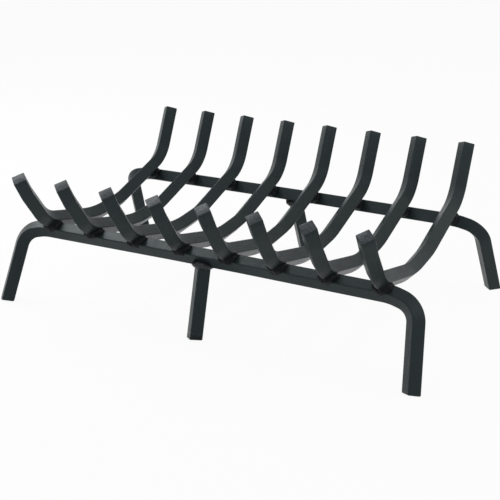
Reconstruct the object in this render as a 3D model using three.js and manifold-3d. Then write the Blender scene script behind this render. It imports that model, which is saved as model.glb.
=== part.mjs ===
// Log grate welded from square steel bar, every bar set on edge (a corner up).
// Millimetres, +Z up, +X to the right, +Y to the rear. The grate stands on its feet at Z = 0.
import * as THREE from 'three';
import * as BufferGeometryUtils from 'three/addons/utils/BufferGeometryUtils.js';
import Module from 'manifold-3d';

const wasm = await Module();
wasm.setup();

// ---- Driving dimensions ------------------------------------------------------------------------

// Stock
const BAR_SIDE = 20;             // square bar, side
const EDGE_FLAT = 1.2;           // eased flat along each corner of the bar
const FIT_GAP = 0.3;             // clearance between pieces that bed on each other

// Rails: front and rear, each bent down into a leg at both ends
const FRONT_RAIL_LENGTH = 675;   // between the corners where rail and legs would meet unbent
const REAR_RAIL_LENGTH = 671;
const RAIL_SPACING = 307;        // front rail axis to rear rail axis
const FRONT_RAIL_HEIGHT = 119;   // front rail axis above the floor, at its straight ends
const RAIL_CROWN = 2;            // how far each rail rises to its middle
const CROWN_RADIUS = 9000;
const END_DROP_RUN = 39;         // the last stretch of a rail before the corner, which droops
const END_DROP_ANGLE = 15;
const END_DROP_RADIUS = 90;
const CORNER_RADIUS = 34;        // rail to leg, on the axis
const FRONT_LEG_TILT = 22.5;     // degrees, feet forward
const REAR_LEG_TILT = 23;        // degrees, feet rearward
const LEG_SPLAY = 6;             // degrees, feet outward
const FRONT_CENTRE_TILT = 16;    // the centre legs' own tilts
const REAR_CENTRE_TILT = 23;
const FRONT_CENTRE_OFFSET = 0;   // centre legs from the middle of the rails
const REAR_CENTRE_OFFSET = 6;
const LEG_SADDLE = 6;            // how far a centre leg's cope climbs the rail's lower faces

// Grate bars: eight alike, seen from the side. Rises are above the lowest corner of the cradle,
// reaches are from the front rail, and the rear part is measured from the rear rail.
const BAR_COUNT = 8;
const BAR_PITCH = 81;
const BARS_OFFSET = 3;           // middle of the eight from the middle of the rails
const FRONT_BED_DEPTH = 10.5;    // how deep the middle bars bed over the rails' upper corners
const REAR_BED_DEPTH = 7;
const TIP_REACH = 75;            // in front of the front rail, as the next two
const TIP_RISE = 116;
const TIP_BEND_REACH = 59;
const TIP_BEND_RISE = 87;
const TIP_BEND_RADIUS = 80;
const FRONT_BEND_REACH = 20.5;
const FRONT_BEND_RISE = 32.5;
const FRONT_BEND_RADIUS = 34;
const CRADLE_FRONT = 105;        // behind the front rail, the lowest corner of the cradle
const CRADLE_FRONT_RADIUS = 190;
const CRADLE_REAR_REACH = 124.5; // in front of the rear rail
const CRADLE_REAR_RISE = 4;
const CRADLE_REAR_RADIUS = 70;
const POST_BEND_REACH = 19;      // behind the rear rail, as the next
const POST_BEND_RISE = 45;
const POST_BEND_RADIUS = 62;
const POST_TOP_REACH = 61;
const POST_TOP_RISE = 130;

// Weld beads, as half sizes of the bead before the bars are cut from it
const WELD_ACROSS = 15.5;        // along the rail
const WELD_ALONG = 14.5;         // along the grate bar
const WELD_HIGH = 10.5;
const WELD_SINK = 4;             // bead centre below the rail's upper corner
const LEG_WELD_WIDE = 17;
const LEG_WELD_DEEP = 16.5;
const LEG_WELD_HIGH = 6.5;
const LEG_WELD_SINK = 1;         // bead centre below the rail's lower corner

// Fineness
const BEND_STEP = 7.5;           // degrees of bend per section
const WELD_SEGMENTS = 14;
const WELD_RINGS = 8;

// ---- Sizes that follow ----------------------------------------------------------------------------

const RIDGE = BAR_SIDE / Math.SQRT2 - EDGE_FLAT / 2;   // axis to the eased corner, on edge
const FOOT_TRIM = BAR_SIDE;                            // length left on a leg to be cut level
const ALONG_RAIL = new THREE.Vector3(1, 0, 0);
const radians = THREE.MathUtils.degToRad;

// ---- Finishes -------------------------------------------------------------------------------------

const barPaint = new THREE.MeshStandardMaterial({
  name: 'satin_charcoal_paint', color: 0x3c4245, roughness: 0.45, metalness: 0.3,
});
const weldPaint = new THREE.MeshStandardMaterial({
  name: 'painted_weld', color: 0x1d2124, roughness: 0.6, metalness: 0.3,
});

// ---- Bent bar -------------------------------------------------------------------------------------

/** A corner of a bar's axis, with the radius that it is bent to. */
const corner = (x, y, z, radius = 0) => ({ at: new THREE.Vector3(x, y, z), radius });

/** The axis of a bent bar: straight runs and round bends, with stations only where it turns. */
class BentAxis extends THREE.Curve {
  constructor(corners) {
    super();
    this.stations = [];
    const last = corners.length - 1;
    this.addStation(corners[0].at, corners[1].at.clone().sub(corners[0].at));
    for (let i = 1; i < last; i++) {
      this.addBend(corners[i - 1].at, corners[i].at, corners[i + 1].at, corners[i].radius);
    }
    this.addStation(corners[last].at, corners[last].at.clone().sub(corners[last - 1].at));
  }

  addStation(point, direction) {
    this.stations.push({ point: point.clone(), tangent: direction.clone().normalize() });
  }

  addBend(before, at, after, radius) {
    const into = at.clone().sub(before);
    const outOf = after.clone().sub(at);
    const turn = into.angleTo(outOf);
    const halfTan = Math.tan(turn / 2);
    const room = Math.min(into.length(), outOf.length()) / 2;
    const setback = Math.min(radius * halfTan, room);
    const bendRadius = setback / halfTan;
    const pivot = into.clone().cross(outOf).normalize();
    const towardsCentre = pivot.clone().cross(into).normalize();
    const start = at.clone().addScaledVector(into.clone().normalize(), -setback);
    const centre = start.clone().addScaledVector(towardsCentre, bendRadius);
    const steps = Math.max(1, Math.ceil(THREE.MathUtils.radToDeg(turn) / BEND_STEP));
    for (let k = 0; k <= steps; k++) {
      const angle = turn * k / steps;
      const spoke = start.clone().sub(centre).applyAxisAngle(pivot, angle);
      this.addStation(spoke.add(centre), into.clone().applyAxisAngle(pivot, angle));
    }
  }

  stationAt(u) {
    return this.stations[Math.round(u * (this.stations.length - 1))];
  }

  getPointAt(u) {
    return this.stationAt(u).point.clone();
  }

  getTangentAt(u) {
    return this.stationAt(u).tangent.clone();
  }

  /** Height and slope of the axis, seen from the side, where it is at a given y. */
  atDepth(y) {
    const next = this.stations.findIndex((station) => station.point.y >= y);
    const a = this.stations[next - 1];
    const b = this.stations[next];
    const share = (y - a.point.y) / (b.point.y - a.point.y);
    const tangent = a.tangent.clone().lerp(b.tangent, share).normalize();
    return { z: THREE.MathUtils.lerp(a.point.z, b.point.z, share), cosSlope: tangent.y };
  }
}

/** The bar's section: a square on edge, its four corners eased. */
function barSection(side) {
  const half = side / 2;
  const inner = half - EDGE_FLAT / Math.SQRT2;
  const points = [];
  for (let quarter = 0; quarter < 4; quarter++) {
    const angle = (quarter + 0.5) * Math.PI / 2;
    for (const along of [-inner, inner]) {
      points.push(new THREE.Vector2(half, along).rotateAround(new THREE.Vector2(), angle));
    }
  }
  return new THREE.Shape(points);
}

/** A bar along an axis, as a solid; grow widens it all round, as a cutter for its neighbours. */
function barSolid(axis, grow = 0) {
  const geometry = new THREE.ExtrudeGeometry(barSection(BAR_SIDE + 2 * grow), {
    steps: axis.stations.length - 1,
    extrudePath: axis,
    bevelEnabled: false,
  });
  return solidOf(geometry);
}

// ---- Solids and meshes ----------------------------------------------------------------------------

/** A closed geometry as a solid that can be joined and cut. */
function solidOf(geometry) {
  geometry.deleteAttribute('normal');
  geometry.deleteAttribute('uv');
  const merged = BufferGeometryUtils.mergeVertices(geometry);
  return new wasm.Manifold(new wasm.Mesh({
    numProp: 3,
    vertProperties: merged.attributes.position.array,
    triVerts: Uint32Array.from(merged.index.array),
  }));
}

/** A solid as a geometry. */
function geometryOf(solid) {
  const mesh = solid.getMesh();
  const geometry = new THREE.BufferGeometry();
  geometry.setAttribute('position', new THREE.BufferAttribute(mesh.vertProperties, 3));
  geometry.setIndex(new THREE.BufferAttribute(mesh.triVerts, 1));
  geometry.computeVertexNormals();
  return geometry;
}

/** A solid moved by a matrix. */
const moved = (solid, matrix) => solid.transform(matrix.elements);

/** A named piece made from a solid. */
function piece(name, solid, material) {
  const mesh = new THREE.Mesh(geometryOf(solid), material);
  mesh.name = name;
  return mesh;
}

/** A squashed ball, the rough shape of a weld bead. */
function beadSolid(halfX, halfY, halfZ, centre) {
  const geometry = new THREE.SphereGeometry(1, WELD_SEGMENTS, WELD_RINGS);
  geometry.scale(halfX, halfY, halfZ);
  geometry.translate(centre.x, centre.y, centre.z);
  return solidOf(geometry);
}

// ---- Rail frames: a rail with its two legs, and the centre leg -------------------------------------

/** A rail's axis in its own upright plane: foot, corner, droop, crown, droop, corner, foot. */
function railAxis(length, legDrop) {
  const cornerX = length / 2;
  const kneeX = cornerX - END_DROP_RUN;
  const sag = END_DROP_RUN * Math.tan(radians(END_DROP_ANGLE));
  const footX = cornerX + legDrop * Math.tan(radians(LEG_SPLAY));
  const rightHalf = [
    corner(kneeX, 0, 0, END_DROP_RADIUS),
    corner(cornerX, 0, -sag, CORNER_RADIUS),
    corner(footX, 0, -legDrop),
  ];
  const leftHalf = rightHalf.map(({ at, radius }) => corner(-at.x, at.y, at.z, radius)).reverse();
  return new BentAxis([...leftHalf, corner(0, 0, RAIL_CROWN, CROWN_RADIUS), ...rightHalf]);
}

/** How long a leg is drawn, from a rail at a height down past the floor. */
const legBlank = (height, tilt) => height / Math.cos(radians(tilt)) + FOOT_TRIM;

/** One rail frame, front or rear, standing in its tilted plane with its feet cut level. */
function railFrame({ name, length, height, depth, tilt, centreTilt, centreOffset }) {
  const frame = new THREE.Group();
  frame.position.set(0, depth, height);
  frame.rotation.x = radians(tilt);
  frame.updateMatrix();

  const legDrop = legBlank(height, tilt);
  const axis = railAxis(length, legDrop);
  const floorBox = new THREE.BoxGeometry(2 * length, 4 * legDrop, 4 * FOOT_TRIM);
  floorBox.translate(0, depth, -2 * FOOT_TRIM);
  const floor = moved(solidOf(floorBox), frame.matrix.clone().invert());
  const railClearance = barSolid(axis, FIT_GAP);

  const downLeg = (reach) => new THREE.Vector3(0, 0, -reach)
    .applyAxisAngle(ALONG_RAIL, radians(centreTilt - tilt))
    .add(new THREE.Vector3(centreOffset, 0, RAIL_CROWN));
  const legAxis = new BentAxis([
    { at: downLeg(RIDGE - LEG_SADDLE) },
    { at: downLeg(legBlank(height, centreTilt)) },
  ]);
  const beadCentre = downLeg(RIDGE + LEG_WELD_SINK);
  const bead = beadSolid(LEG_WELD_WIDE, LEG_WELD_DEEP, LEG_WELD_HIGH, beadCentre);
  const legClearance = barSolid(legAxis, FIT_GAP);

  frame.add(
    piece(`${name}_rail`, barSolid(axis).subtract(floor), barPaint),
    piece(`${name}_centre_leg`, barSolid(legAxis).subtract(railClearance).subtract(floor), barPaint),
    piece(`${name}_leg_weld`, bead.subtract(railClearance).subtract(legClearance), weldPaint),
  );
  return { group: frame, clearance: moved(railClearance, frame.matrix) };
}

/** Where a rail's upper corner is from its axis, seen from the side. */
const ridgeFromAxis = (tilt) => new THREE.Vector2(
  -(RIDGE + RAIL_CROWN) * Math.sin(radians(tilt)),
  (RIDGE + RAIL_CROWN) * Math.cos(radians(tilt)),
);

/** How high a grate bar's axis stands over the rail corner that it beds on. */
function seatHeight(barAxis, ridgeDepth, bedDepth) {
  const { z, cosSlope } = barAxis.atDepth(ridgeDepth);
  return { barZ: z, lift: (RIDGE - bedDepth) / cosSlope };
}

// ---- Grate bars -----------------------------------------------------------------------------------

const grateBarAxis = new BentAxis([
  corner(0, -TIP_REACH, TIP_RISE),
  corner(0, -TIP_BEND_REACH, TIP_BEND_RISE, TIP_BEND_RADIUS),
  corner(0, -FRONT_BEND_REACH, FRONT_BEND_RISE, FRONT_BEND_RADIUS),
  corner(0, CRADLE_FRONT, 0, CRADLE_FRONT_RADIUS),
  corner(0, RAIL_SPACING - CRADLE_REAR_REACH, CRADLE_REAR_RISE, CRADLE_REAR_RADIUS),
  corner(0, RAIL_SPACING + POST_BEND_REACH, POST_BEND_RISE, POST_BEND_RADIUS),
  corner(0, RAIL_SPACING + POST_TOP_REACH, POST_TOP_RISE),
]);

// The bars are lifted onto the front rail, and the rear rail is brought up under them.
const frontRidge = ridgeFromAxis(-FRONT_LEG_TILT);
const frontSeat = seatHeight(grateBarAxis, frontRidge.x, FRONT_BED_DEPTH);
const cradleLift = FRONT_RAIL_HEIGHT + frontRidge.y + frontSeat.lift - frontSeat.barZ;

const rearRidge = ridgeFromAxis(REAR_LEG_TILT);
const rearSeat = seatHeight(grateBarAxis, RAIL_SPACING + rearRidge.x, REAR_BED_DEPTH);
const rearRailHeight = cradleLift + rearSeat.barZ - rearSeat.lift - rearRidge.y;

const frontFrame = railFrame({
  name: 'front', length: FRONT_RAIL_LENGTH, height: FRONT_RAIL_HEIGHT, depth: 0,
  tilt: -FRONT_LEG_TILT, centreTilt: -FRONT_CENTRE_TILT, centreOffset: FRONT_CENTRE_OFFSET,
});
const rearFrame = railFrame({
  name: 'rear', length: REAR_RAIL_LENGTH, height: rearRailHeight, depth: RAIL_SPACING,
  tilt: REAR_LEG_TILT, centreTilt: REAR_CENTRE_TILT, centreOffset: REAR_CENTRE_OFFSET,
});

/** The weld bead where a grate bar crosses a rail: a collar round their crossing corners. */
function crossingWeld(name, frame, ridgeDepth, ridgeHeight, barClearance) {
  const centre = new THREE.Vector3(0, ridgeDepth, ridgeHeight - WELD_SINK);
  const bead = beadSolid(WELD_ACROSS, WELD_ALONG, WELD_HIGH, centre);
  return piece(name, bead.subtract(barClearance).subtract(frame), weldPaint);
}

const cradle = new THREE.Group();
const barBlank = barSolid(grateBarAxis).translate(0, 0, cradleLift);
const barClearance = barSolid(grateBarAxis, FIT_GAP).translate(0, 0, cradleLift);
for (let i = 0; i < BAR_COUNT; i++) {
  const number = i + 1;
  const x = BARS_OFFSET + (i - (BAR_COUNT - 1) / 2) * BAR_PITCH;
  const frontRailHere = frontFrame.clearance.translate(-x, 0, 0);
  const rearRailHere = rearFrame.clearance.translate(-x, 0, 0);
  const bar = barBlank.subtract(frontRailHere).subtract(rearRailHere);
  const station = new THREE.Group();
  station.position.x = x;
  station.add(
    piece(`grate_bar_${number}`, bar, barPaint),
    crossingWeld(`front_weld_${number}`, frontRailHere,
      frontRidge.x, FRONT_RAIL_HEIGHT + frontRidge.y, barClearance),
    crossingWeld(`rear_weld_${number}`, rearRailHere,
      RAIL_SPACING + rearRidge.x, rearRailHeight + rearRidge.y, barClearance),
  );
  cradle.add(station);
}

// ---- The grate, centred over its footprint -----------------------------------------------------------

const grate = new THREE.Group();
grate.name = 'log_grate';
grate.add(frontFrame.group, rearFrame.group, cradle);
grate.updateMatrixWorld(true);
const footprint = new THREE.Box3().setFromObject(grate, true);
grate.position.y = -(footprint.min.y + footprint.max.y) / 2;

export default grate;
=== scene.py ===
"""Log grate of square steel bar set on edge, in satin charcoal heat paint, on a white floor.

Metres, +Z up, +X to the right along the rails, +Y to the rear, standing on its feet at Z = 0.
"""
from __future__ import annotations

import logging
import math
from collections.abc import Iterable
from dataclasses import dataclass
from enum import Enum, IntEnum

import bmesh
import bpy
from mathutils import Matrix, Vector, noise

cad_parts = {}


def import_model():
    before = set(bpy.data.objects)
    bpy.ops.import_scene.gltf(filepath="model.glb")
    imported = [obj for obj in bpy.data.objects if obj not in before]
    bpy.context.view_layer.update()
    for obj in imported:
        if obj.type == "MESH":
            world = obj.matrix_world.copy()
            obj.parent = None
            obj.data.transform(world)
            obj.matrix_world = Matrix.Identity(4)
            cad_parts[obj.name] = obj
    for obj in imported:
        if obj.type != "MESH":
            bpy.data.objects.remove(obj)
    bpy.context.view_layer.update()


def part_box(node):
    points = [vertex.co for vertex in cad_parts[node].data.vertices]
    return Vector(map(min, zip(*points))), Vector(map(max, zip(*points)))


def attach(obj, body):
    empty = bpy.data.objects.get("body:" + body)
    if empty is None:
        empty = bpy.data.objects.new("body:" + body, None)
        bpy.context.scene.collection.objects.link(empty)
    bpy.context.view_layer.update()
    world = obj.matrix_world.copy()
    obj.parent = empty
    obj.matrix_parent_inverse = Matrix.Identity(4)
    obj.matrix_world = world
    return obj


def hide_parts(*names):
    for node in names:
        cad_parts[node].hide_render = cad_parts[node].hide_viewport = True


log = logging.getLogger("log_grate")

BODY = "root"
RIGHT = Vector((1.0, 0.0, 0.0))
REARWARD = Vector((0.0, 1.0, 0.0))
UP = Vector((0.0, 0.0, 1.0))


class Slot(str, Enum):
    """The record's material slots."""

    BAR = "bar_paint"
    WELD = "weld_paint"


class Skin(IntEnum):
    """Which finish a face of a bar takes, as its material index."""

    PAINTED = 0
    SAWN = 1


class Side(Enum):
    """Front or rear of the grate: the node prefix, and which way its feet lean."""

    FRONT = ("front", -1.0)
    REAR = ("rear", 1.0)

    @property
    def prefix(self) -> str:
        """The first word of this side's node names."""
        return self.value[0]

    @property
    def lean(self) -> float:
        """-1 where the feet stand forward of the rail, 1 where they stand behind it."""
        return self.value[1]


# ---- Node helpers ----------------------------------------------------------------------------------


class NodeSheet:
    """A node tree under construction, with short calls for adding and joining nodes."""

    def __init__(self, tree: bpy.types.NodeTree) -> None:
        """Starts on an emptied tree.

        Args:
            tree: the material's, world's or group's node tree.
        """
        self.tree = tree
        tree.nodes.clear()

    def add(self, kind: str, **settings: object) -> bpy.types.Node:
        """Adds a node.

        Args:
            kind: the node's type name, without the ShaderNode prefix.
            settings: attributes to set on the node.

        Returns:
            The new node.
        """
        node = self.tree.nodes.new(kind if kind.startswith("NodeGroup") else "ShaderNode" + kind)
        for name, value in settings.items():
            setattr(node, name, value)
        return node

    def join(self, source: bpy.types.NodeSocket, target: bpy.types.NodeSocket) -> None:
        """Links an output socket to an input socket."""
        self.tree.links.new(source, target)

    def fill(self, target: bpy.types.NodeSocket, value: object) -> None:
        """Sets an input socket from a plain value, or links it where the value is a socket."""
        if isinstance(value, bpy.types.NodeSocket):
            self.join(value, target)
        else:
            target.default_value = value

    def maths(self, operation: str, a: object, b: object = 0.0, clamp: bool = False) -> bpy.types.NodeSocket:
        """Adds a Math node.

        Args:
            operation: the Math node's operation.
            a: first value or socket.
            b: second value or socket.
            clamp: whether the result is held between 0 and 1.

        Returns:
            The result socket.
        """
        node = self.add("Math", operation=operation, use_clamp=clamp)
        self.fill(node.inputs[0], a)
        self.fill(node.inputs[1], b)
        return node.outputs[0]

    def ramp(self, value: object, low: float, high: float, to_low: float = 0.0, to_high: float = 1.0,
             ) -> bpy.types.NodeSocket:
        """Adds a smooth Map Range.

        Args:
            value: the value or socket to map.
            low: value that gives to_low.
            high: value that gives to_high.
            to_low: result at low.
            to_high: result at high.

        Returns:
            The result socket.
        """
        node = self.add("MapRange", interpolation_type="SMOOTHSTEP", clamp=True)
        self.fill(node.inputs["Value"], value)
        node.inputs["From Min"].default_value = low
        node.inputs["From Max"].default_value = high
        node.inputs["To Min"].default_value = to_low
        node.inputs["To Max"].default_value = to_high
        return node.outputs["Result"]

    def noise(self, vector: bpy.types.NodeSocket, scale: object, detail: float = 2.0,
              roughness: float = 0.5, distortion: float = 0.0) -> bpy.types.NodeSocket:
        """Adds a noise texture.

        Args:
            vector: where it is read.
            scale: features per metre.
            detail: octaves.
            roughness: share of each finer octave.
            distortion: how far the pattern is bent by itself.

        Returns:
            The noise's value socket, about 0 to 1.
        """
        node = self.add("TexNoise")
        self.fill(node.inputs["Vector"], vector)
        self.fill(node.inputs["Scale"], scale)
        node.inputs["Detail"].default_value = detail
        node.inputs["Roughness"].default_value = roughness
        node.inputs["Distortion"].default_value = distortion
        return node.outputs["Fac"]

    def blend(self, share: object, below: object, above: object) -> bpy.types.NodeSocket:
        """Adds a colour mix.

        Args:
            share: 0 gives below, 1 gives above.
            below: colour or socket.
            above: colour or socket.

        Returns:
            The mixed colour's socket.
        """
        node = self.add("Mix", data_type="RGBA")
        self.fill(node.inputs["Factor"], share)
        self.fill(node.inputs[6], below)
        self.fill(node.inputs[7], above)
        return node.outputs[2]


class PatternGroup:
    """A shader node group with named inputs and outputs, built once and placed where it is used."""

    name: str = ""
    inputs: tuple[tuple[str, str, object], ...] = ()
    outputs: tuple[tuple[str, str], ...] = ()

    def __init__(self) -> None:
        """Makes the group's interface and fills it."""
        self.tree = bpy.data.node_groups.new(self.name, "ShaderNodeTree")
        for label, kind, value in self.inputs:
            socket = self.tree.interface.new_socket(label, in_out="INPUT", socket_type=kind)
            if value is not None:
                socket.default_value = value
        for label, kind in self.outputs:
            self.tree.interface.new_socket(label, in_out="OUTPUT", socket_type=kind)
        sheet = NodeSheet(self.tree)
        self.draw(sheet, sheet.add("NodeGroupInput").outputs, sheet.add("NodeGroupOutput").inputs)

    def draw(self, sheet: NodeSheet, given: bpy.types.NodeInputs, result: bpy.types.NodeOutputs) -> None:
        """Fills the group.

        Args:
            sheet: the group's node sheet.
            given: the group's input sockets, by name.
            result: the group's output sockets, by name.
        """
        raise NotImplementedError

    def place(self, sheet: NodeSheet, **values: object) -> bpy.types.NodeOutputs:
        """Places the group in a material.

        Args:
            sheet: the material's node sheet.
            values: input values or sockets; an underscore stands for a space in a name.

        Returns:
            The placed group's outputs, by name.
        """
        node = sheet.add("Group", node_tree=self.tree)
        for label, value in values.items():
            sheet.fill(node.inputs[label.replace("_", " ")], value)
        return node.outputs


FLOAT = "NodeSocketFloat"
VECTOR = "NodeSocketVector"


class PaintSkinGroup(PatternGroup):
    """Sprayed heat paint over rolled steel: a fine grain, a soft orange peel and slow unevenness."""

    name = "paint_skin"
    inputs = (("Vector", VECTOR, None), ("Grain Size", FLOAT, 0.0011), ("Peel Size", FLOAT, 0.006),
              ("Patch Size", FLOAT, 0.06))
    outputs = (("Height", FLOAT), ("Patch", FLOAT), ("Speck", FLOAT))

    def draw(self, sheet: NodeSheet, given: bpy.types.NodeInputs, result: bpy.types.NodeOutputs) -> None:
        """Fills the group: three noises, the finest also as scattered specks."""
        scales = [sheet.maths("DIVIDE", 1.0, given[n]) for n in ("Grain Size", "Peel Size", "Patch Size")]
        grain = sheet.noise(given["Vector"], scales[0], detail=3.0, roughness=0.6)
        peel = sheet.noise(given["Vector"], scales[1], detail=2.0)
        patch = sheet.noise(given["Vector"], scales[2], detail=3.0, distortion=0.6)
        fine = sheet.maths("MULTIPLY", grain, 0.35)
        sheet.join(sheet.maths("MULTIPLY_ADD", peel, 0.65), result["Height"])
        sheet.join(fine, result["Height"].links[0].from_node.inputs[2])
        sheet.join(sheet.ramp(patch, 0.3, 0.7), result["Patch"])
        sheet.join(sheet.ramp(grain, 0.62, 0.78), result["Speck"])


class RolledStreakGroup(PatternGroup):
    """Faint streaks along the bar, left by the rolls and showing through the paint."""

    name = "rolled_streaks"
    inputs = (("Vector", VECTOR, None), ("Width", FLOAT, 0.0016), ("Stretch", FLOAT, 60.0))
    outputs = (("Streak", FLOAT),)

    def draw(self, sheet: NodeSheet, given: bpy.types.NodeInputs, result: bpy.types.NodeOutputs) -> None:
        """Fills the group: a noise drawn out along the bar."""
        parts = sheet.add("SeparateXYZ")
        sheet.join(given["Vector"], parts.inputs[0])
        drawn = sheet.add("CombineXYZ")
        sheet.join(parts.outputs["X"], drawn.inputs["X"])
        sheet.join(parts.outputs["Y"], drawn.inputs["Y"])
        sheet.join(sheet.maths("DIVIDE", parts.outputs["Z"], given["Stretch"]), drawn.inputs["Z"])
        scale = sheet.maths("DIVIDE", 1.0, given["Width"])
        lines = sheet.noise(drawn.outputs[0], scale, detail=3.0, roughness=0.6)
        sheet.join(sheet.ramp(lines, 0.34, 0.68), result["Streak"])


class EdgeRubGroup(PatternGroup):
    """Where the paint is thin or polished along the bar's corners."""

    name = "edge_rub"
    inputs = (("Vector", VECTOR, None), ("Corner", FLOAT, 0.0), ("Length", FLOAT, 0.03))
    outputs = (("Mask", FLOAT),)

    def draw(self, sheet: NodeSheet, given: bpy.types.NodeInputs, result: bpy.types.NodeOutputs) -> None:
        """Fills the group: the corner attribute, broken up along its length."""
        scale = sheet.maths("DIVIDE", 1.0, given["Length"])
        broken = sheet.noise(given["Vector"], scale, detail=6.0, roughness=0.65)
        reach = sheet.maths("MULTIPLY", given["Corner"], sheet.ramp(broken, 0.42, 0.68))
        sheet.join(sheet.ramp(reach, 0.35, 1.0), result["Mask"])


class SawMarkGroup(PatternGroup):
    """Fine, slightly curved scores that a saw leaves across a cut end."""

    name = "saw_marks"
    inputs = (("Vector", VECTOR, None), ("Pitch", FLOAT, 0.0012))
    outputs = (("Height", FLOAT), ("Bare", FLOAT))

    def draw(self, sheet: NodeSheet, given: bpy.types.NodeInputs, result: bpy.types.NodeOutputs) -> None:
        """Fills the group: banded waves, and a noise for where the paint is thin."""
        wave = sheet.add("TexWave", wave_type="BANDS", bands_direction="DIAGONAL")
        sheet.join(given["Vector"], wave.inputs["Vector"])
        sheet.join(sheet.maths("DIVIDE", 0.31, given["Pitch"]), wave.inputs["Scale"])
        wave.inputs["Distortion"].default_value = 1.6
        wave.inputs["Detail"].default_value = 3.0
        thin = sheet.noise(given["Vector"], 420.0, detail=4.0, roughness=0.6)
        sheet.join(wave.outputs["Fac"], result["Height"])
        sheet.join(sheet.ramp(thin, 0.35, 0.65), result["Bare"])


class WeldScaleGroup(PatternGroup):
    """The blistered skin of a painted weld bead."""

    name = "weld_scale"
    inputs = (("Vector", VECTOR, None), ("Blister Size", FLOAT, 0.0018))
    outputs = (("Height", FLOAT), ("Pit", FLOAT))

    def draw(self, sheet: NodeSheet, given: bpy.types.NodeInputs, result: bpy.types.NodeOutputs) -> None:
        """Fills the group: cells for the blisters and a noise for the pits."""
        scale = sheet.maths("DIVIDE", 1.0, given["Blister Size"])
        cells = sheet.add("TexVoronoi", feature="SMOOTH_F1")
        sheet.join(given["Vector"], cells.inputs["Vector"])
        sheet.join(scale, cells.inputs["Scale"])
        pits = sheet.noise(given["Vector"], scale, detail=4.0, roughness=0.7)
        sheet.join(sheet.maths("SUBTRACT", 1.0, cells.outputs["Distance"]), result["Height"])
        sheet.join(sheet.ramp(pits, 0.5, 0.7), result["Pit"])


# ---- Finishes --------------------------------------------------------------------------------------

Colour = tuple[float, float, float, float]


@dataclass(frozen=True)
class Patterns:
    """The pattern groups, built once for all finishes."""

    skin: PaintSkinGroup
    streaks: RolledStreakGroup
    rub: EdgeRubGroup
    saw: SawMarkGroup
    scale: WeldScaleGroup

    @classmethod
    def build(cls) -> Patterns:
        """Builds the five groups."""
        return cls(PaintSkinGroup(), RolledStreakGroup(), EdgeRubGroup(), SawMarkGroup(), WeldScaleGroup())


class Canvas:
    """A new material with its sheet, its shader and the object coordinates it is drawn on."""

    def __init__(self, name: str) -> None:
        """Makes the material.

        Args:
            name: the material's name.
        """
        self.material = bpy.data.materials.new(name)
        self.material.use_nodes = True
        self.sheet = NodeSheet(self.material.node_tree)
        self.shader = self.sheet.add("BsdfPrincipled")
        output = self.sheet.add("OutputMaterial")
        self.sheet.join(self.shader.outputs["BSDF"], output.inputs["Surface"])
        self.place = self.sheet.add("TexCoord").outputs["Object"]

    def relief(self, height: bpy.types.NodeSocket, depth: float, strength: float = 1.0,
               under: bpy.types.NodeSocket | None = None) -> bpy.types.NodeSocket:
        """Adds a bump.

        Args:
            height: the relief's height, 0 to 1.
            depth: metres from its low to its high places.
            strength: the bump's strength.
            under: the normal of a coarser relief beneath it.

        Returns:
            The normal's socket.
        """
        bump = self.sheet.add("Bump")
        bump.inputs["Strength"].default_value = strength
        bump.inputs["Distance"].default_value = depth
        self.sheet.join(height, bump.inputs["Height"])
        if under is not None:
            self.sheet.join(under, bump.inputs["Normal"])
        return bump.outputs["Normal"]


@dataclass(frozen=True)
class BarPaint:
    """Satin charcoal heat paint on the bars."""

    thin: Colour = (0.0172, 0.0245, 0.0255, 1.0)
    thick: Colour = (0.0125, 0.0186, 0.0196, 1.0)
    rubbed: Colour = (0.022, 0.026, 0.028, 1.0)
    gloss_rough: float = 0.31
    dull_rough: float = 0.45
    relief_depth: float = 0.0005
    specular: float = 0.20
    sheen_tint: Colour = (0.82, 0.97, 1.0, 1.0)
    dust: Colour = (0.040, 0.046, 0.050, 1.0)
    dust_share: float = 0.55
    streak_share: float = 0.6

    def material(self, patterns: Patterns) -> bpy.types.Material:
        """Makes the paint.

        Args:
            patterns: the pattern groups.

        Returns:
            The material.
        """
        canvas = Canvas("satin_charcoal_paint")
        sheet = canvas.sheet
        skin = patterns.skin.place(sheet, Vector=canvas.place)
        corner = sheet.add("Attribute", attribute_name=BarMesh.CORNER).outputs["Fac"]
        rub = patterns.rub.place(sheet, Vector=canvas.place, Corner=corner)
        along = sheet.add("Attribute", attribute_name=BarMesh.STRAIGHT).outputs["Vector"]
        streaks = patterns.streaks.place(sheet, Vector=along)
        worn = sheet.maths("MULTIPLY", streaks["Streak"], self.streak_share)
        uneven = sheet.maths("MAXIMUM", sheet.maths("MULTIPLY", skin["Patch"], 0.7), worn)
        coat = sheet.blend(uneven, self.thin, self.thick)
        dusty = sheet.blend(sheet.maths("MULTIPLY", skin["Speck"], self.dust_share), coat, self.dust)
        sheet.join(sheet.blend(rub["Mask"], dusty, self.rubbed), canvas.shader.inputs["Base Color"])
        rough = sheet.ramp(uneven, 0.0, 1.0, self.gloss_rough, self.dull_rough)
        sheet.join(rough, canvas.shader.inputs["Roughness"])
        sheet.join(canvas.relief(skin["Height"], self.relief_depth), canvas.shader.inputs["Normal"])
        canvas.shader.inputs["Specular IOR Level"].default_value = self.specular
        canvas.shader.inputs["Specular Tint"].default_value = self.sheen_tint
        return canvas.material


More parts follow.
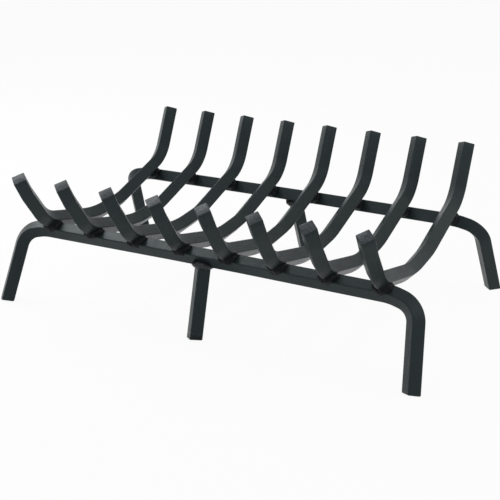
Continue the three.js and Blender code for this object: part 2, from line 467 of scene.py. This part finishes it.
@dataclass(frozen=True)
class SawnPaint:
    """The same paint on a sawn end, thinner over the saw's scores."""

    painted: Colour = (0.020, 0.026, 0.030, 1.0)
    bare: Colour = (0.056, 0.070, 0.079, 1.0)
    specular: float = 0.24
    roughness: float = 0.33
    relief_depth: float = 0.0002

    def material(self, patterns: Patterns) -> bpy.types.Material:
        """Makes the finish of a sawn end.

        Args:
            patterns: the pattern groups.

        Returns:
            The material.
        """
        canvas = Canvas("painted_sawn_end")
        sheet = canvas.sheet
        saw = patterns.saw.place(sheet, Vector=canvas.place)
        colour = sheet.blend(saw["Bare"], self.painted, self.bare)
        sheet.join(colour, canvas.shader.inputs["Base Color"])
        canvas.shader.inputs["Specular IOR Level"].default_value = self.specular
        sheet.join(canvas.relief(saw["Height"], self.relief_depth), canvas.shader.inputs["Normal"])
        canvas.shader.inputs["Roughness"].default_value = self.roughness
        return canvas.material


@dataclass(frozen=True)
class WeldPaint:
    """Heat paint over a weld bead, darker and rougher than on the bars; by default near black, as painted shade of
    the bar above is added to the weld's own colour.
    """

    name: str = "painted_weld"
    # Near black: the weld's dark paint together with painted shade, the shadow that the bar casts on the bead and
    # the rail round it.
    high: Colour = (0.0045, 0.0055, 0.0070, 1.0)
    pitted: Colour = (0.0015, 0.0018, 0.0022, 1.0)
    roughness: float = 0.55
    relief_depth: float = 0.0007
    specular: float = 0.12

    def material(self, patterns: Patterns) -> bpy.types.Material:
        """Makes the weld's finish.

        Args:
            patterns: the pattern groups.

        Returns:
            The material.
        """
        canvas = Canvas(self.name)
        sheet = canvas.sheet
        scale = patterns.scale.place(sheet, Vector=canvas.place)
        colour = sheet.blend(scale["Pit"], self.high, self.pitted)
        sheet.join(colour, canvas.shader.inputs["Base Color"])
        sheet.join(canvas.relief(scale["Height"], self.relief_depth), canvas.shader.inputs["Normal"])
        canvas.shader.inputs["Roughness"].default_value = self.roughness
        canvas.shader.inputs["Specular IOR Level"].default_value = self.specular
        return canvas.material


CLEAN_WELD_PAINT = WeldPaint(name="painted_leg_weld", high=(0.010, 0.0135, 0.0145, 1.0),
                             pitted=(0.006, 0.008, 0.009, 1.0), roughness=0.42, specular=0.36)


@dataclass(frozen=True)
class Finishes:
    """The materials of the grate."""

    bar: bpy.types.Material
    sawn: bpy.types.Material
    # Crossing welds: weld paint darkened with painted shade of the bars above them.
    weld_and_painted_shade: bpy.types.Material
    clean_weld: bpy.types.Material

    @classmethod
    def build(cls) -> Finishes:
        """Builds the pattern groups and the four finishes from them."""
        patterns = Patterns.build()
        paints = (BarPaint(), SawnPaint(), WeldPaint(), CLEAN_WELD_PAINT)
        return cls(*(paint.material(patterns) for paint in paints))


# ---- Mesh helpers ----------------------------------------------------------------------------------


def middle(corners: tuple[Vector, Vector]) -> Vector:
    """The middle of a box given by its lowest and highest corners."""
    return (corners[0] + corners[1]) / 2


def corners_of(bm: bmesh.types.BMesh) -> tuple[Vector, Vector]:
    """The lowest and highest corners of a mesh.

    Args:
        bm: the mesh.

    Returns:
        Its lowest and its highest corner.
    """
    places = [vert.co for vert in bm.verts]
    low = Vector(min(place[axis] for place in places) for axis in range(3))
    high = Vector(max(place[axis] for place in places) for axis in range(3))
    return low, high


def make_piece(bm: bmesh.types.BMesh, name: str, materials: Iterable[bpy.types.Material],
               stands_for: str, sharp_angle: float = math.radians(35)) -> bpy.types.Object:
    """Turns a mesh into a piece of the grate that stands for a CAD node.

    Args:
        bm: the mesh, which is freed.
        name: the piece's name.
        materials: the finishes, in the order of the faces' material indices.
        stands_for: the node that the piece replaces.
        sharp_angle: edges bent by more than this stay crisp.

    Returns:
        The piece.
    """
    bmesh.ops.recalc_face_normals(bm, faces=bm.faces[:])
    for face in bm.faces:
        face.smooth = True
    for edge in bm.edges:
        edge.smooth = len(edge.link_faces) != 2 or edge.calc_face_angle() < sharp_angle
    mesh = bpy.data.meshes.new(name)
    bm.to_mesh(mesh)
    bm.free()
    for material in materials:
        mesh.materials.append(material)
    piece = bpy.data.objects.new(name, mesh)
    bpy.context.scene.collection.objects.link(piece)
    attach(piece, BODY)
    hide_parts(stands_for)
    log.info("%s: %d faces", name, len(mesh.polygons))
    return piece


# ---- Bent square bar -------------------------------------------------------------------------------


@dataclass(frozen=True)
class SquareStock:
    """Square bar set on edge, with eased corners."""

    side: float = 0.020
    eased_flat: float = 0.0012
    round_steps: int = 4
    rub_width: float = 0.0012
    end_easing: float = 0.0010

    @property
    def corner_round(self) -> float:
        """Radius of the bar's corners, as high as the eased flats stand."""
        return self.eased_flat / 2 / (math.sqrt(2) - 1)

    @property
    def ridge(self) -> float:
        """From the bar's axis to its rounded corner."""
        return self.side / math.sqrt(2) - self.eased_flat / 2


@dataclass(frozen=True)
class Knee:
    """A corner of a bar's axis, and the radius that it is bent to."""

    at: Vector
    radius: float = 0.0


class BarMesh:
    """A square bar bent along a row of knees that lie in one plane.

    Its vertices carry how near they are to a corner, and where they are in the straight bar: across the
    section in X and Y, and along the bar in Z.
    """

    CORNER = "corner"
    STRAIGHT = "straight_bar"
    RING_PITCH = 0.009
    BEND_STEP = math.radians(2.5)

    def __init__(self, stock: SquareStock, knees: list[Knee], sideways: Vector) -> None:
        """Builds the bar.

        Args:
            stock: the bar's section.
            knees: its start, its bends and its end.
            sideways: the normal of the plane that it is bent in.
        """
        self.stock = stock
        self.bm = bmesh.new()
        self.corner = self.bm.verts.layers.float.new(self.CORNER)
        self.straight = self.bm.verts.layers.float_vector.new(self.STRAIGHT)
        heading = (knees[1].at - knees[0].at).normalized()
        first = self._section(knees[0].at, heading, sideways)
        last = self._bend_up(first, knees)
        for cap in (first, last):
            cap.material_index = Skin.SAWN

    def _section(self, place: Vector, heading: Vector, sideways: Vector) -> bmesh.types.BMFace:
        """Draws the bar's section as a face.

        Args:
            place: its middle.
            heading: the way that the bar leaves it.
            sideways: the normal of the bar's plane, along a diagonal of the section.

        Returns:
            The face.
        """
        turn = Matrix((sideways, heading.cross(sideways), heading)).transposed().to_4x4()
        spot = Matrix.Translation(place) @ turn
        radius = self.stock.side / math.sqrt(2)
        bmesh.ops.create_circle(self.bm, cap_ends=True, segments=4, radius=radius, matrix=spot)
        bmesh.ops.bevel(self.bm, geom=self.bm.verts[:], offset=self.stock.corner_round, affect="VERTICES",
                        segments=self.stock.round_steps, profile=0.5, material=-1)
        for vert in self.bm.verts:
            vert[self.corner] = 1.0
        for edge in [e for e in self.bm.edges if e.calc_length() > self.stock.side / 2]:
            self._fade_rub(edge)
        unturned = spot.inverted()
        for vert in self.bm.verts:
            vert[self.straight] = unturned @ vert.co
        return self.bm.faces[:][0]

    def _fade_rub(self, edge: bmesh.types.BMEdge) -> None:
        """Adds a point near each end of a section's flat, where the rubbed corner fades out."""
        for start in edge.verts[:]:
            share = self.stock.rub_width / edge.calc_length()
            other = edge.other_vert(start)
            _, point = bmesh.utils.edge_split(edge, start, share)
            point[self.corner] = 0.0
            edge = self.bm.edges.get((point, other))

    def _bend_up(self, face: bmesh.types.BMFace, knees: list[Knee]) -> bmesh.types.BMFace:
        """Draws the bar out from its first section, straight and round in turn.

        Args:
            face: the first section.
            knees: the bar's knees.

        Returns:
            The last section.
        """
        here = knees[0].at
        for before, knee, after in zip(knees, knees[1:], knees[2:]):
            into = (knee.at - before.at).normalized()
            out_of = (after.at - knee.at).normalized()
            turn = into.angle(out_of)
            setback = knee.radius * math.tan(turn / 2)
            start = knee.at - into * setback
            face = self._straight(face, start - here)
            pivot = into.cross(out_of).normalized()
            centre = start + pivot.cross(into) * knee.radius
            face = self._round(face, centre, pivot, turn)
            here = knee.at + out_of * setback
        return self._straight(face, knees[-1].at - here)

    def _straight(self, face: bmesh.types.BMFace, run: Vector) -> bmesh.types.BMFace:
        """Draws a section out along a straight run, in equal rings.

        Args:
            face: the section.
            run: how far and which way.

        Returns:
            The section at the run's end.
        """
        rings = max(1, round(run.length / self.RING_PITCH))
        step = Matrix.Translation(run / rings)
        return self._draw_out(face, rings, step, run.length / rings)

    def _round(self, face: bmesh.types.BMFace, centre: Vector, pivot: Vector, turn: float,
               ) -> bmesh.types.BMFace:
        """Draws a section out round a bend.

        Args:
            face: the section.
            centre: a point on the bend's pivot.
            pivot: the pivot's direction.
            turn: the bend's angle.

        Returns:
            The section at the bend's end.
        """
        rings = max(1, math.ceil(turn / self.BEND_STEP))
        about = Matrix.Translation(centre) @ Matrix.Rotation(turn / rings, 4, pivot)
        step = about @ Matrix.Translation(-centre)
        radius = (face.calc_center_bounds() - centre).length
        return self._draw_out(face, rings, step, radius * turn / rings)

    def _draw_out(self, face: bmesh.types.BMFace, rings: int, step: Matrix, advance: float,
                  ) -> bmesh.types.BMFace:
        """Draws a section out by equal steps.

        Args:
            face: the section.
            rings: how many steps.
            step: the move from one ring to the next.
            advance: how far a step goes along the bar.

        Returns:
            The last section.
        """
        for _ in range(rings):
            drawn = bmesh.ops.extrude_face_region(self.bm, geom=[face])["geom"]
            verts = [part for part in drawn if isinstance(part, bmesh.types.BMVert)]
            bmesh.ops.transform(self.bm, matrix=step, verts=verts)
            for vert in verts:
                vert[self.straight] += UP * advance
            face = next(part for part in drawn if isinstance(part, bmesh.types.BMFace))
        return face

    def move(self, matrix: Matrix) -> None:
        """Moves the whole bar by a matrix."""
        bmesh.ops.transform(self.bm, matrix=matrix, verts=self.bm.verts[:])

    def cut_off(self, point: Vector, inward: Vector) -> None:
        """Cuts the bar off along a plane and closes the cuts as sawn faces.

        Args:
            point: a point of the plane.
            inward: the plane's normal, towards the part that stays.
        """
        everything = self.bm.verts[:] + self.bm.edges[:] + self.bm.faces[:]
        bmesh.ops.bisect_plane(self.bm, geom=everything, plane_co=point, plane_no=inward,
                               clear_inner=True)
        rims = [edge for edge in self.bm.edges if edge.is_boundary]
        closed = bmesh.ops.holes_fill(self.bm, edges=rims, sides=0)
        for face in closed["faces"]:
            face.material_index = Skin.SAWN

    def ease_ends(self) -> None:
        """Rounds the rims of the sawn faces slightly, as filing does."""
        rims = {edge for face in self.bm.faces if face.material_index == Skin.SAWN for edge in face.edges}
        bmesh.ops.bevel(self.bm, geom=list(rims), offset=self.stock.end_easing, affect="EDGES",
                        segments=2, profile=0.5, material=-1)


# ---- Rails and legs --------------------------------------------------------------------------------


@dataclass
class RailFrame:
    """A rail bent down into a leg at each end, its centre leg and the weld that joins them."""

    side: Side
    length: float
    tilt: float
    centre_tilt: float
    stock: SquareStock
    crown: float = 0.002
    crown_radius: float = 9.0
    end_drop_run: float = 0.039
    end_drop_angle: float = math.radians(15)
    end_drop_radius: float = 0.090
    corner_radius: float = 0.034
    leg_splay: float = math.radians(6)
    leg_blank: float = 0.150
    leg_saddle: float = 0.006
    toe_length: float = 0.002
    centre_offset: float = 0.0
    place: Vector = Vector()

    @property
    def plane(self) -> Matrix:
        """The turn from the rail's own upright plane to its tilted one."""
        return Matrix.Rotation(self.side.lean * self.tilt, 4, RIGHT)

    @property
    def centre_leg_spot(self) -> Matrix:
        """Place and turn of the centre leg, whose axis meets the rail's axis at this spot's origin."""
        meeting = self.place + self.plane @ Vector((self.centre_offset, 0.0, self.crown))
        return Matrix.Translation(meeting) @ Matrix.Rotation(self.side.lean * self.centre_tilt, 4, RIGHT)

    def _knees(self) -> list[Knee]:
        """The rail's knees in its own plane, from left foot to right foot."""
        corner_x = self.length / 2
        knee_x = corner_x - self.end_drop_run
        sag = self.end_drop_run * math.tan(self.end_drop_angle)
        foot_x = corner_x + self.leg_blank * math.tan(self.leg_splay)
        right = [(knee_x, 0.0, self.end_drop_radius), (corner_x, -sag, self.corner_radius),
                 (foot_x, -self.leg_blank, 0.0)]
        left = [(-x, z, radius) for x, z, radius in reversed(right)]
        row = [*left, (0.0, self.crown, self.crown_radius), *right]
        return [Knee(Vector((x, 0.0, z)), radius) for x, z, radius in row]

    def _seat(self, bar: BarMesh, node: str) -> None:
        """Finds where the rail's axis is from its CAD node, and moves the rail there.

        Args:
            bar: the rail, bent about the origin.
            node: the CAD node it stands for.
        """
        low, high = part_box(node)
        own_low, own_high = corners_of(bar.bm)
        depth = high.y - own_high.y if self.side is Side.FRONT else low.y - own_low.y
        self.place = Vector((middle((low, high)).x, depth, high.z - own_high.z))
        bar.move(Matrix.Translation(self.place))

    def ridge(self) -> Vector:
        """The rail's upper corner at its middle."""
        return self.place + self.plane @ (UP * (self.crown + self.stock.ridge))

    def build(self, finishes: Finishes) -> None:
        """Makes the rail, the centre leg and its weld.

        Args:
            finishes: the materials.
        """
        self._build_rail(finishes)
        self._build_centre_leg(finishes)
        self._build_leg_weld(finishes)

    def _build_rail(self, finishes: Finishes) -> None:
        """Makes the rail with its two legs."""
        name = f"{self.side.prefix}_rail"
        bar = BarMesh(self.stock, self._knees(), REARWARD)
        bar.move(self.plane)
        self._seat(bar, name)
        self._finish(bar, name, self.tilt, finishes)

    def _build_centre_leg(self, finishes: Finishes) -> None:
        """Makes the centre leg, which runs up into the rail."""
        knees = [Knee(UP * (self.leg_saddle - self.stock.ridge)), Knee(UP * -self.leg_blank)]
        bar = BarMesh(self.stock, knees, REARWARD)
        bar.move(self.centre_leg_spot)
        self._finish(bar, f"{self.side.prefix}_centre_leg", self.centre_tilt, finishes)

    def foot_depth(self, tilt: float) -> float:
        """How far back a foot's middle stands, for a leg of the given tilt."""
        return self.place.y + self.side.lean * self.place.z * math.tan(tilt)

    def _finish(self, bar: BarMesh, name: str, tilt: float, finishes: Finishes) -> None:
        """Cuts a bar level at the floor, with its toe sawn square, and makes it a piece."""
        bar.cut_off(Vector(), UP)
        if self.side is Side.FRONT:
            toe = self.foot_depth(tilt) - self.toe_length
            bar.cut_off(Vector((0.0, toe, 0.0)), Matrix.Rotation(-tilt, 3, RIGHT) @ UP)
        bar.ease_ends()
        make_piece(bar.bm, name + "_bar", (finishes.bar, finishes.sawn), name)

    def _build_leg_weld(self, finishes: Finishes) -> None:
        """Makes the flared bead round the top of the centre leg."""
        sunk = Matrix.Translation(UP * -(self.stock.ridge + LEG_WELD.sink))
        LEG_WELD.build(self.centre_leg_spot @ sunk, f"{self.side.prefix}_leg_weld", finishes.clean_weld)


# ---- Welds -----------------------------------------------------------------------------------------


@dataclass(frozen=True)
class WeldBead:
    """A weld bead: a squashed, rippled collar round a joint."""

    half_x: float
    half_y: float
    half_z: float
    sink: float
    forward: float = 0.0
    ripples: int = 13
    ripple_share: float = 0.025
    lump_share: float = 0.16
    lump_size: float = 0.008
    fineness: int = 5

    def build(self, spot: Matrix, node: str, finish: bpy.types.Material) -> None:
        """Makes the bead.

        Args:
            spot: its place and turn.
            node: the CAD node it stands for.
            finish: its material.
        """
        bm = bmesh.new()
        bmesh.ops.create_icosphere(bm, subdivisions=self.fineness, radius=1.0)
        seed = spot.translation / self.lump_size
        size = Vector((self.half_x, self.half_y, self.half_z))
        for vert in bm.verts:
            vert.co *= self._swell(vert.co, size, seed)
        bmesh.ops.scale(bm, vec=size, verts=bm.verts[:])
        bmesh.ops.transform(bm, matrix=spot, verts=bm.verts[:])
        make_piece(bm, node + "_bead", (finish,), node)

    def _swell(self, spoke: Vector, size: Vector, seed: Vector) -> float:
        """How far the bead reaches along a spoke, as a share of its rough size.

        Args:
            spoke: unit direction from the bead's middle.
            size: the bead's half sizes.
            seed: where in the noise this bead is read.

        Returns:
            The share, near 1.
        """
        around = math.atan2(spoke.y, spoke.x)
        ripple = math.cos(self.ripples * around + 3.0 * spoke.z) * (1.0 - spoke.z ** 2)
        lump = noise.noise(spoke * size / self.lump_size + seed)
        return 1.0 + self.ripple_share * ripple + self.lump_share * lump


# The crossing beads are grown and set forward to fill the dark patch below each bar, which is part weld and part
# painted shade of the bar.
FRONT_WELD = WeldBead(half_x=0.0152, half_y=0.0145, half_z=0.0112, sink=0.0048, forward=0.0085)
REAR_WELD = WeldBead(half_x=0.0150, half_y=0.0120, half_z=0.0115, sink=0.0075, forward=0.0035)
LEG_WELD = WeldBead(half_x=0.0172, half_y=0.0165, half_z=0.0078, sink=-0.0012, ripple_share=0.012, lump_share=0.08)


# ---- Grate bars ------------------------------------------------------------------------------------


@dataclass
class GrateBars:
    """The eight bent bars that hold the logs, with their welds to both rails."""

    stock: SquareStock
    rails: tuple[RailFrame, RailFrame]
    count: int = 8
    tip: tuple[float, float] = (-0.075, 0.116)
    tip_bend: tuple[float, float, float] = (-0.059, 0.087, 0.080)
    front_bend: tuple[float, float, float] = (-0.0205, 0.0325, 0.058)
    cradle_front: tuple[float, float, float] = (0.105, 0.0, 0.190)
    cradle_rear: tuple[float, float, float] = (0.1825, 0.004, 0.150)
    post_bend: tuple[float, float, float] = (0.326, 0.045, 0.062)
    post_top: tuple[float, float] = (0.368, 0.130)

    def _knees(self) -> list[Knee]:
        """A grate bar's knees seen from the side, from its tip to the top of its post."""
        bends = (self.front_bend, self.cradle_front, self.cradle_rear, self.post_bend)
        row = [(*self.tip, 0.0), self.tip_bend, *bends, (*self.post_top, 0.0)]
        return [Knee(Vector((0.0, y, z)), radius) for y, z, radius in row]

    def build(self, finishes: Finishes) -> None:
        """Makes the bars and the welds where they cross the rails.

        Args:
            finishes: the materials.
        """
        for number in range(1, self.count + 1):
            node = f"grate_bar_{number}"
            bar = BarMesh(self.stock, self._knees(), RIGHT)
            bar.move(Matrix.Translation(middle(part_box(node)) - middle(corners_of(bar.bm))))
            bar.ease_ends()
            make_piece(bar.bm, node + "_bar", (finishes.bar, finishes.sawn), node)
            for rail in self.rails:
                self._build_weld(rail, number, middle(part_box(node)).x, finishes)

    def _build_weld(self, rail: RailFrame, number: int, x: float, finishes: Finishes) -> None:
        """Makes the weld where a bar crosses a rail, in near-black paint that also stands for the bar's shade on
        the rail.

        Args:
            rail: the rail.
            number: the bar's number.
            x: the bar's place along the rails.
            finishes: the materials.
        """
        ridge = rail.ridge()
        bead = FRONT_WELD if rail.side is Side.FRONT else REAR_WELD
        spot = Matrix.Translation((x, ridge.y - bead.forward, ridge.z - bead.sink))
        bead.build(spot, f"{rail.side.prefix}_weld_{number}", finishes.weld_and_painted_shade)


# ---- Studio ----------------------------------------------------------------------------------------


@dataclass(frozen=True)
class Camera:
    """The camera, by the point it looks through, its direction from there and its lens."""

    target: Vector = Vector((0.01255, -0.04664, 0.10113))
    azimuth: float = math.radians(28.267)
    elevation: float = math.radians(21.329)
    roll: float = math.radians(-0.662)
    distance: float = 1.6433
    sensor: float = 36.0
    picture: float = 500.0
    focal_pixels: float = 1035.3
    centre_pixel: tuple[float, float] = (242.43, 249.10)

    def build(self) -> None:
        """Makes the camera and gives it to the scene."""
        data = bpy.data.cameras.new("camera")
        data.sensor_width = self.sensor
        data.lens = self.focal_pixels / self.picture * self.sensor
        data.shift_x = 0.5 - self.centre_pixel[0] / self.picture
        data.shift_y = self.centre_pixel[1] / self.picture - 0.5
        camera = bpy.data.objects.new("camera", data)
        bpy.context.scene.collection.objects.link(camera)
        back = Vector((math.sin(self.azimuth) * math.cos(self.elevation),
                       -math.cos(self.azimuth) * math.cos(self.elevation), math.sin(self.elevation)))
        across = Vector((math.cos(self.azimuth), math.sin(self.azimuth), 0.0))
        turn = Matrix((across, back.cross(across), back)).transposed().to_4x4()
        roll = Matrix.Rotation(self.roll, 4, "Z")
        camera.matrix_world = Matrix.Translation(self.target + back * self.distance) @ turn @ roll
        bpy.context.scene.camera = camera


@dataclass(frozen=True)
class Softbox:
    """A square of soft light that faces a point of the grate."""

    name: str
    place: Vector
    aim: Vector
    width: float
    height: float
    power: float

    def build(self) -> None:
        """Makes the lamp."""
        data = bpy.data.lights.new(self.name, "AREA")
        data.shape = "RECTANGLE"
        data.size = self.width
        data.size_y = self.height
        data.energy = self.power
        lamp = bpy.data.objects.new(self.name, data)
        bpy.context.scene.collection.objects.link(lamp)
        turn = (self.aim - self.place).to_track_quat("-Z", "Y").to_matrix().to_4x4()
        lamp.matrix_world = Matrix.Translation(self.place) @ turn


class Studio:
    """White floor, white surround and soft lamps."""

    FLOOR_RADIUS = 30.0
    FLOOR_SEGMENTS = 96
    SKY_STRENGTH = 0.40
    FLOOR_ALBEDO = 0.90
    FLOOR_GLOW_SHARE = 0.94
    SOFTBOXES = (
        Softbox("key_softbox", Vector((-1.28, 0.22, 1.36)), Vector((0.0, 0.0, 0.1)), 1.0, 1.0, 16.0),
        Softbox("fill_softbox", Vector((-1.0, -2.2, 1.4)), Vector((0.0, 0.0, 0.1)), 1.4, 1.2, 7.5),
        Softbox("right_softbox", Vector((1.20, 0.15, 0.95)), Vector((0.05, 0.1, 0.15)), 1.4, 0.8, 3.0),
    )

    def build(self) -> None:
        """Makes the floor, the world, the lamps and the camera."""
        self._floor()
        self._world()
        for softbox in self.SOFTBOXES:
            softbox.build()
        Camera().build()

    def _floor(self) -> None:
        """Makes the floor: matt white, which glows to the eye as a white sweep does."""
        bm = bmesh.new()
        bmesh.ops.create_circle(bm, cap_ends=True, segments=self.FLOOR_SEGMENTS, radius=self.FLOOR_RADIUS)
        mesh = bpy.data.meshes.new("floor")
        bm.to_mesh(mesh)
        bm.free()
        floor = bpy.data.objects.new("floor", mesh)
        bpy.context.scene.collection.objects.link(floor)
        mesh.materials.append(self._floor_material())

    def _seen_directly(self, sheet: NodeSheet) -> bpy.types.NodeSocket:
        """1 for rays of the eye, alone or off a glossy or clear surface, else 0."""
        path = sheet.add("LightPath").outputs
        seen = sheet.maths("MAXIMUM", path["Is Camera Ray"], path["Is Glossy Ray"])
        return sheet.maths("MAXIMUM", seen, path["Is Transmission Ray"])

    def _floor_material(self) -> bpy.types.Material:
        """Makes the floor's material."""
        material = bpy.data.materials.new("white_floor")
        material.use_nodes = True
        sheet = NodeSheet(material.node_tree)
        matt = sheet.add("BsdfDiffuse")
        matt.inputs["Color"].default_value = (*[self.FLOOR_ALBEDO] * 3, 1.0)
        glow = sheet.add("Emission")
        mix = sheet.add("MixShader")
        share = sheet.maths("MULTIPLY", self._seen_directly(sheet), self.FLOOR_GLOW_SHARE)
        sheet.join(share, mix.inputs["Fac"])
        sheet.join(matt.outputs[0], mix.inputs[1])
        sheet.join(glow.outputs[0], mix.inputs[2])
        sheet.join(mix.outputs[0], sheet.add("OutputMaterial").inputs["Surface"])
        return material

    def _world(self) -> None:
        """Makes the surround: plain soft light from all sides, white to the eye."""
        world = bpy.data.worlds.new("surround")
        world.use_nodes = True
        bpy.context.scene.world = world
        sheet = NodeSheet(world.node_tree)
        sky = sheet.add("Background")
        sky.inputs["Color"].default_value = (1.0, 1.0, 1.0, 1.0)
        strength = sheet.maths("MAXIMUM", self._seen_directly(sheet), self.SKY_STRENGTH)
        sheet.join(strength, sky.inputs["Strength"])
        sheet.join(sky.outputs[0], sheet.add("OutputWorld").inputs["Surface"])


# ---- The grate -------------------------------------------------------------------------------------


def main() -> None:
    """Builds the grate around the CAD frame, and the studio round it."""
    logging.basicConfig(level=logging.INFO, format="%(message)s")
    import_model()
    bpy.context.scene.view_settings.view_transform = "Standard"
    stock = SquareStock()
    finishes = Finishes.build()
    front = RailFrame(Side.FRONT, length=0.675, tilt=math.radians(22.5), centre_tilt=math.radians(16), stock=stock)
    rear = RailFrame(Side.REAR, length=0.671, tilt=math.radians(23), centre_tilt=math.radians(23), stock=stock,
                     centre_offset=0.006)
    for rail in (front, rear):
        rail.build(finishes)
    GrateBars(stock, (front, rear)).build(finishes)
    Studio().build()


if __name__ == "__main__":
    main()
